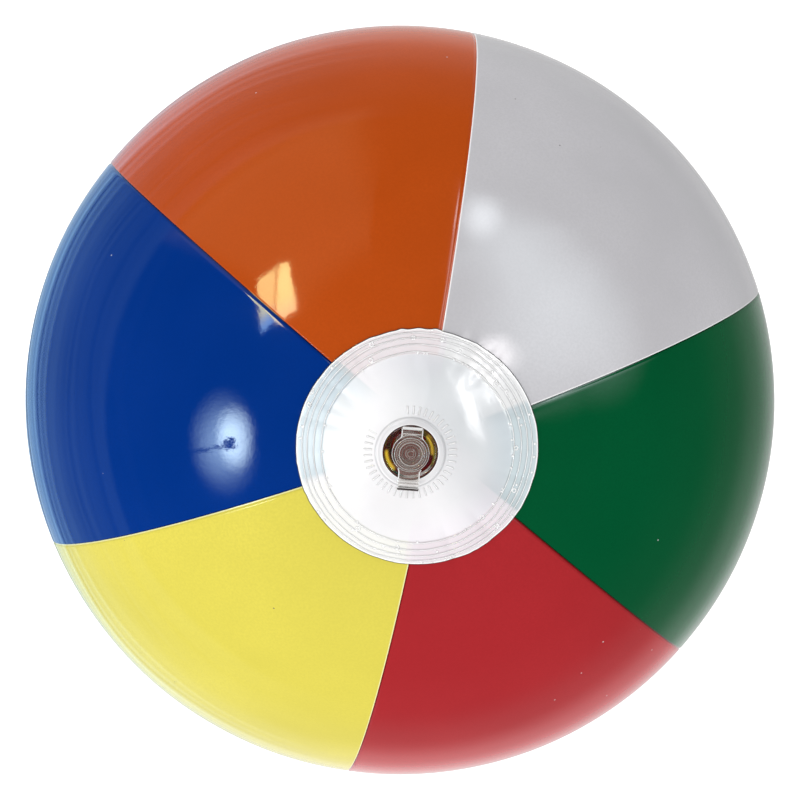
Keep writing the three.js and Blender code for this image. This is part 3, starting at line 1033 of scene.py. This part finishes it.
VIEW_FROM = (105.6, 84.53)  # the camera's azimuth and elevation, in degrees
VIEW_DISTANCE = 2.6  # from the ball's centre, in ball radii
VIEW_ROLL = 4.5
LENS = 40.47
CARD_DISTANCE = 2.0
FLOOR_HALF = 3.0
SQUARE = ((-1, -1), (1, -1), (1, 1), (-1, 1))
LIGHT_LEVEL, LIGHT_SLANT = 1.195, (-0.33, -0.43, 0.0)
REFLECTION_LEVEL, REFLECTION_SLANT = 1.03, (-0.31, -0.28, 0.0)
# How bright the room is in reflections by height, from straight down (-1) to straight up (1).
ROOM_BELOW = ((-1, 0.84), (-0.78, 0.58), (-0.55, 0.34), (-0.3, 0.15))
ROOM = (*ROOM_BELOW, (0, 0.042), (0.4, 0.009), (1, 0.004))
LEDGE = ((-0.42, 0.03), (-0.14, 0.12), (-0.03, 0.30), (0.008, 0.0))  # the same, on one side


def direction(azimuth, elevation):
    a, e = math.radians(azimuth), math.radians(elevation)
    return Vector((math.cos(a) * math.cos(e), math.sin(a) * math.cos(e), math.sin(e)))


def camera():
    """Looks down on the valve from a little to one side."""
    towards = direction(*VIEW_FROM)
    data = bpy.data.cameras.new("camera")
    data.sensor_width, data.lens = 36, LENS
    data.clip_start, data.clip_end = 0.01, 50
    view = new_object("camera", data)
    level = (Vector((0, 1, 0)) - towards * towards.y).normalized()
    up = Quaternion(towards, math.radians(VIEW_ROLL)) @ level
    right = up.cross(towards)
    rotation = Matrix((right, up, towards)).transposed().to_4x4()
    view.matrix_world = Matrix.Translation(towards * VIEW_DISTANCE * BALL_RADIUS * MM) @ rotation
    bpy.context.scene.camera = view


def card(name, corners, strength, softness=0.08, colour=(1, 1, 1), foot=None,
         distance=CARD_DISTANCE, rounded=False):
    """A glowing card out of view, whose corners lie in the given (azimuth, elevation).

    The first two corners are its head and the last two its foot. foot is the colour there.
    """
    mesh = bpy.data.meshes.new(name)
    points = [direction(*corner) * distance for corner in corners]
    mesh.from_pydata(points, [], [(0, 1, 2, 3)])
    spread = mesh.uv_layers.new(name="spread")
    for loop, place in zip(spread.data, SQUARE):
        loop.uv = place
    mesh.materials.append(glow(name, strength, softness, colour, foot or colour, rounded))
    new_object(name, mesh, unseen_by=("camera", "diffuse", "shadow"))


def glow(name, strength, softness, colour, foot, rounded):
    """Clear, with emission that fades over the outer share softness. Strength 0 is black."""
    nodes = Material(name)
    nodes.tree.nodes.remove(nodes.shader)
    surface = nodes.tree.nodes["Material Output"].inputs["Surface"]
    if not strength:
        nodes.feed(nodes.add("ShaderNodeEmission", Strength=0.0).outputs[0], surface)
        return nodes.material
    x, y, _ = nodes.parts(nodes.add("ShaderNodeTexCoord").outputs["UV"])
    across, upward = nodes.calc("ABSOLUTE", x), nodes.calc("ABSOLUTE", y)
    away = nodes.length(across, upward) if rounded else nodes.calc("MAXIMUM", across, upward)
    level = nodes.product(nodes.step(away, 1.0, 1 - softness), strength)
    tint = nodes.mix(nodes.step(y, 0.2, 0.8), (*colour, 1), (*foot, 1))
    emission = nodes.add("ShaderNodeEmission", tint, level).outputs[0]
    clear = nodes.add("ShaderNodeBsdfTransparent").outputs[0]
    nodes.feed(nodes.add("ShaderNodeAddShader", clear, emission).outputs[0], surface)
    return nodes.material


def cards():
    """What the ball mirrors: a window with two panes, a lamp, and softer lights."""
    warm, cool, peach = (1.0, 0.92, 0.38), (0.27, 0.47, 0.78), (1.0, 0.80, 0.42)
    lamp_blue, core_blue, pale_blue = (0.55, 0.8, 1.0), (0.72, 0.92, 1.0), (0.85, 0.95, 1.0)
    left = [(141.7, 35.3), (135.0, 36.2), (148.8, 47.2), (155.2, 46.0)]
    right = [(134.4, 36.0), (131.5, 37.5), (139.6, 49.7), (149.3, 47.7)]
    card("window_left_pane", left, 15.5, 0.10, warm, cool)
    card("window_right_pane", right, 21, 0.08, warm, peach)

    glow_box = [(177.1, 31.0), (170.4, 51.3), (-144.2, 47.6), (-153.1, 27.7)]
    core_box = [(-179.3, 38.2), (176.9, 51.1), (-153.1, 49.1), (-156.3, 38.0)]
    stand = [(-167.6, 42.1), (-168.0, 45.1), (-164.3, 44.9), (-164.4, 42.0)]
    cord = [(-164.6, 25.0), (-166.0, 43.0), (-165.2, 43.0), (-163.9, 25.0)]
    card("lamp_glow", glow_box, 11, 1, lamp_blue, rounded=True)
    card("lamp_core", core_box, 20, 0.8, core_blue, distance=1.98, rounded=True)
    card("lamp_stand", stand, 0, distance=1.9)
    card("lamp_cord", cord, 0, distance=1.9)

    far_lamp = [(81, 24), (66, 20), (62, 38), (79, 43)]
    far_wash = [(83, 20), (46, 16), (44, 48), (80, 52)]
    white_wash = [(80.0, 22.0), (20.0, 6.0), (-8.0, 40.0), (50.0, 80.0)]
    card("far_lamp", far_lamp, 7.5, 1, (0.9, 0.95, 1.0), rounded=True)
    card("lamp_wash", far_wash, 3, 1, pale_blue)
    card("white_wash", white_wash, 5.2, 1, pale_blue, rounded=True)

    glare = [(58.6, 71.4), (45.0, 69.0), (-15.0, 66.0), (-12.4, 72.2)]
    glint = [(37.2, 67.1), (33.4, 65.5), (10.3, 66.0), (12.1, 67.5)]
    sheen = [(64, 71), (30, 60), (2, 64), (0, 77)]
    low_glow = [(66, 64), (41, 50), (20, 54), (27, 72)]
    broad = [(174.0, 60.0), (125.1, 80.0), (-95.4, 71.0), (-134.4, 56.0)]
    card("disc_glare", glare, 12, 0.7)
    card("disc_glint", glint, 12, 0.6)
    card("disc_sheen", sheen, 6, 1, rounded=True)
    card("disc_glow", low_glow, 12, 1, (1.0, 0.95, 0.97), rounded=True)
    card("disc_wash", broad, 6, 1, rounded=True)

    card("room_wall", [(152, 0), (98, -4), (94, 44), (140, 54)], 0.55, 0.4, (1.0, 0.8, 0.4))
    card("wall_shade", [(108, 3), (101, 3), (92, 50), (104, 50)], 0, distance=1.95)


def world():
    """Even white light on surfaces, but a dim room in reflections, pale below the horizon."""
    scene = bpy.context.scene
    scene.world = bpy.data.worlds.new("studio")
    scene.world.use_nodes = True
    scene.world.node_tree.nodes.clear()
    nodes = Nodes(scene.world.node_tree, "Generated")
    x, y, z = nodes.parts(nodes.place)

    def background(strength, colour=WHITE):
        return nodes.add("ShaderNodeBackground", colour, strength).outputs[0]

    def by_height(levels):
        stops = [((height + 1) / 2, (level, level, level, 1)) for height, level in levels]
        return nodes.ramp(nodes.between(z, -1, 1, 0, 1), stops, "EASE")

    def mixed(share, first, second):
        return nodes.add("ShaderNodeMixShader", share, first, second).outputs[0]

    height = nodes.calc("MULTIPLY_ADD", nodes.noise(1.3, 1.0), 0.25, z)
    bands = nodes.add("ShaderNodeTexNoise", noise_dimensions="1D", W=height, Scale=21, Detail=3)
    streak = nodes.product(nodes.calc("SUBTRACT", bands.outputs["Fac"], 0.5), 4.0)
    left_side = nodes.calc("MULTIPLY", x, -1.6, clamp=True)
    uneven = nodes.calc("MULTIPLY_ADD", streak, left_side, 1.0)
    near_side = nodes.calc("MULTIPLY", y, -0.6, clamp=True)
    lean = nodes.calc("ADD", nodes.dot(nodes.place, REFLECTION_SLANT), near_side)
    lean = nodes.calc("ADD", lean, REFLECTION_LEVEL)
    uneven = nodes.calc("MAXIMUM", nodes.product(uneven, lean), 0.1)
    level = nodes.product(by_height(ROOM), uneven)
    level = nodes.calc("MULTIPLY_ADD", by_height(LEDGE), left_side, level)
    reflections = background(level, nodes.mix(left_side, WHITE, (0.42, 0.74, 0.98, 1)))

    light = nodes.calc("ADD", nodes.dot(nodes.place, LIGHT_SLANT), LIGHT_LEVEL)
    ray = nodes.add("ShaderNodeLightPath")
    shown = mixed(ray.outputs["Is Glossy Ray"], background(light), reflections)
    shown = mixed(ray.outputs["Is Camera Ray"], shown, background(1.0))
    nodes.add("ShaderNodeOutputWorld", shown)


def inner_light():
    """Dim light inside the ball, standing for what comes through its film."""
    data = bpy.data.lights.new("inner_light", "POINT")
    data.energy, data.shadow_soft_size = 0.10, 0.02
    new_object("inner_light", data, unseen_by=("transmission", "glossy", "camera"))


def floor():
    """A plain pale floor under the ball, which reflections don't see."""
    height = CAD_BOX[0].z - 0.3 * MM
    mesh = bpy.data.meshes.new("floor")
    corners = [(x * FLOOR_HALF, y * FLOOR_HALF, height) for x, y in SQUARE]
    mesh.from_pydata(corners, [], [(0, 1, 2, 3)])
    nodes = Material("pale_floor")
    nodes.put((0.9, 0.9, 0.9, 1), "Base Color")
    nodes.put(0.9, "Roughness")
    nodes.put(WHITE, "Emission Color")
    nodes.put(0.5, "Emission Strength")
    mesh.materials.append(nodes.material)
    new_object("floor", mesh, unseen_by=("glossy",))


# ---- The object and its setting ----

camera()
for number, (colour_name, first, last) in enumerate(PANELS):
    panel(colour_name, number, first, last)
valve_disc()
plain_disc()
flange()
skirt()
stem()
strap()
plug()
tab()
flap()

floor()
world()
cards()
inner_light()
bpy.context.scene.view_settings.view_transform = "Standard"
